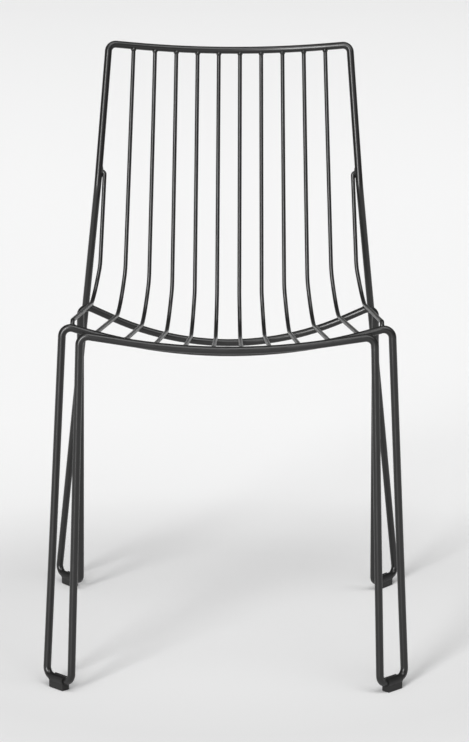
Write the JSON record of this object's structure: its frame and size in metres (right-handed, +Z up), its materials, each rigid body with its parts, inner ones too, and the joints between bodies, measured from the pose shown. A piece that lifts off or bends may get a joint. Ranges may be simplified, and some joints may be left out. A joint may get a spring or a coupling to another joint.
{
  "type": "wire dining chair",
  "caption": "Stacking side chair bent from black steel rod, its seat and back filled with parallel curved wires, on paired rod legs with clip-on plastic glides.",
  "frame": {"origin": "on the floor, under the middle of the overall box", "axes": "+X to the right as seen from the front, +Y towards the back, +Z up"},
  "size_m": [0.496, 0.5295, 0.7829],
  "materials": {
    "powder_coat": "satin black powder coat on steel",
    "glide_plastic": "matt black moulded plastic"
  },
  "bodies": {
    "root": {"front_lip_rod": "powder_coat", "seat_front_rod": "powder_coat", "seat_rear_rod": "powder_coat", "back_hoop": "powder_coat", "wire_01": "powder_coat", "wire_02": "powder_coat", "wire_03": "powder_coat", "wire_04": "powder_coat", "wire_05": "powder_coat", "wire_06": "powder_coat", "wire_07": "powder_coat", "wire_08": "powder_coat", "wire_09": "powder_coat", "wire_10": "powder_coat", "wire_11": "powder_coat", "wire_12": "powder_coat", "glide_front_left": "glide_plastic", "glide_front_right": "glide_plastic", "glide_rear_left": "glide_plastic", "glide_rear_right": "glide_plastic"}
  },
  "joints": []
}
